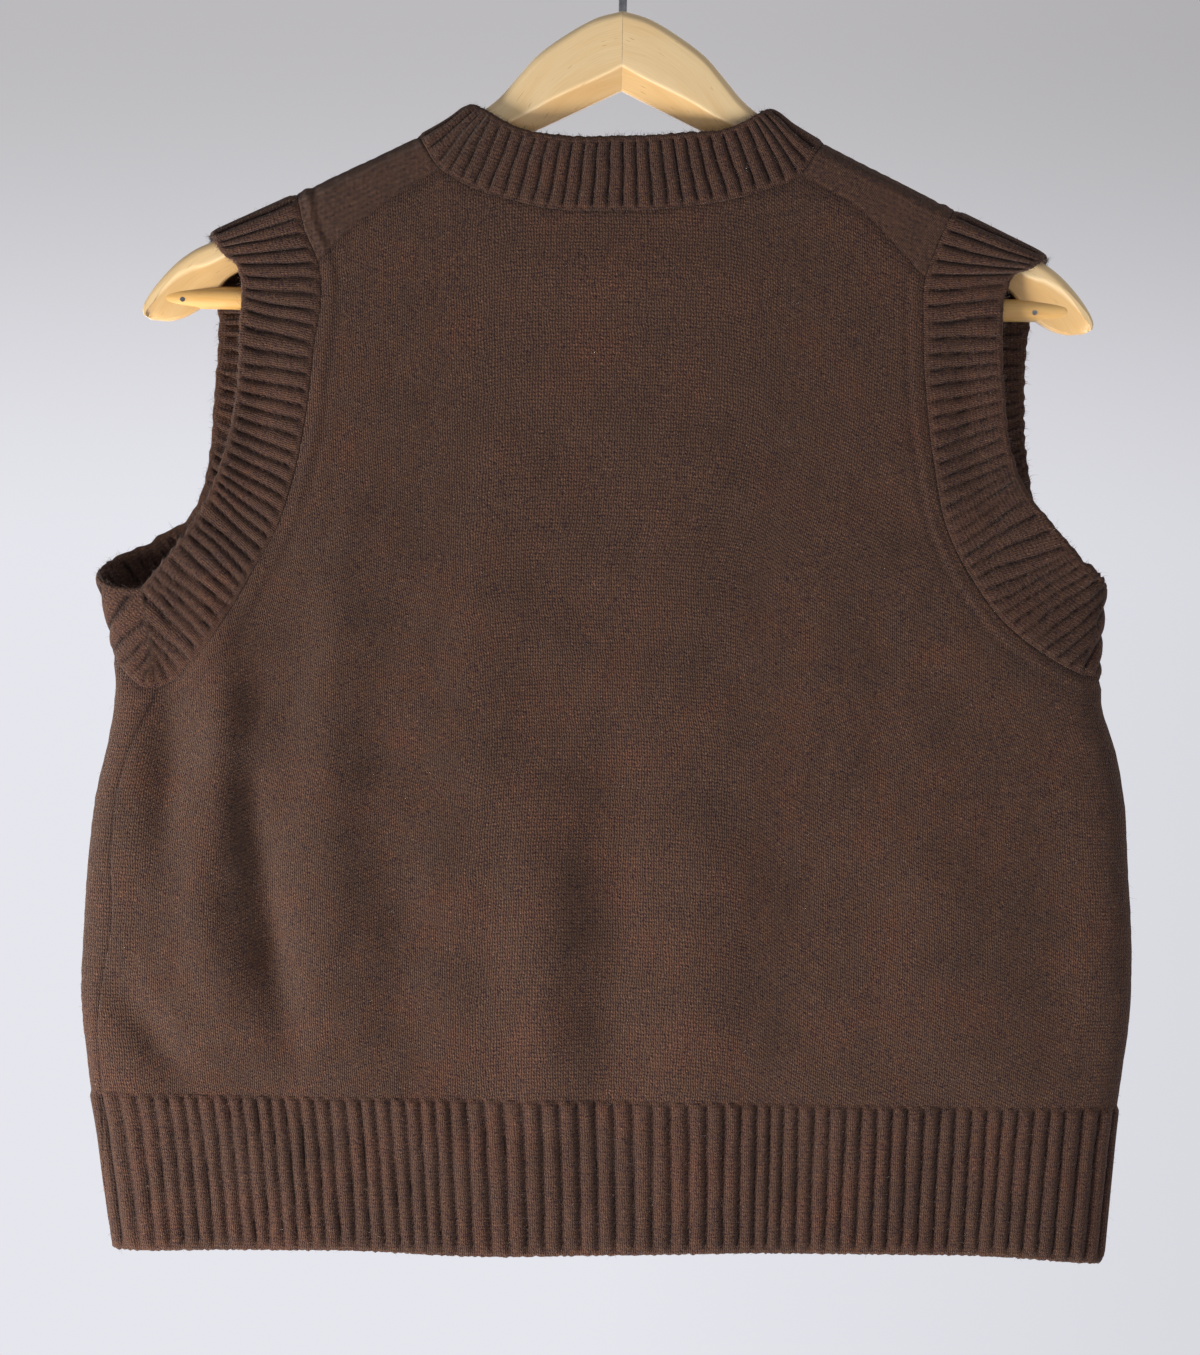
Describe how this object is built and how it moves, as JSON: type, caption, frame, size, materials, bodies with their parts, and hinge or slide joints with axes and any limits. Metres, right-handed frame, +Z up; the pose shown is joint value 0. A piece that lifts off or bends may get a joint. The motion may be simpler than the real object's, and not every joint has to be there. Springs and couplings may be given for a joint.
{
  "type": "knitted sweater vest on a wooden hanger",
  "caption": "Sleeveless V-neck knitted vest with ribbed hem, armholes and neck, hung on a wooden hanger with a trouser bar.",
  "frame": {"origin": "hang point: the top of the inside of the hanger's hook", "axes": "+Z up; the back of the garment faces -Y and its V neck faces +Y; +X runs along the hanger to the right as seen from the back"},
  "size_m": [0.4945, 0.0348, 0.652],
  "materials": {
    "knit": "brown heather wool, fine stockinette",
    "rib": "brown heather wool, chunky rib",
    "beech": "pale varnished beech",
    "bar_wood": "warm glossy varnish",
    "steel": "plated wire"
  },
  "bodies": {
    "root": {"back": "knit", "front": "knit", "back_hem": "rib", "front_hem": "rib", "neckband": "rib", "armband_left": "rib", "armband_right": "rib", "hanger_arm_left": "beech", "hanger_arm_right": "beech", "trouser_bar": "bar_wood", "bar_pin_left": "steel", "bar_pin_right": "steel", "hook": "steel"}
  },
  "joints": []
}
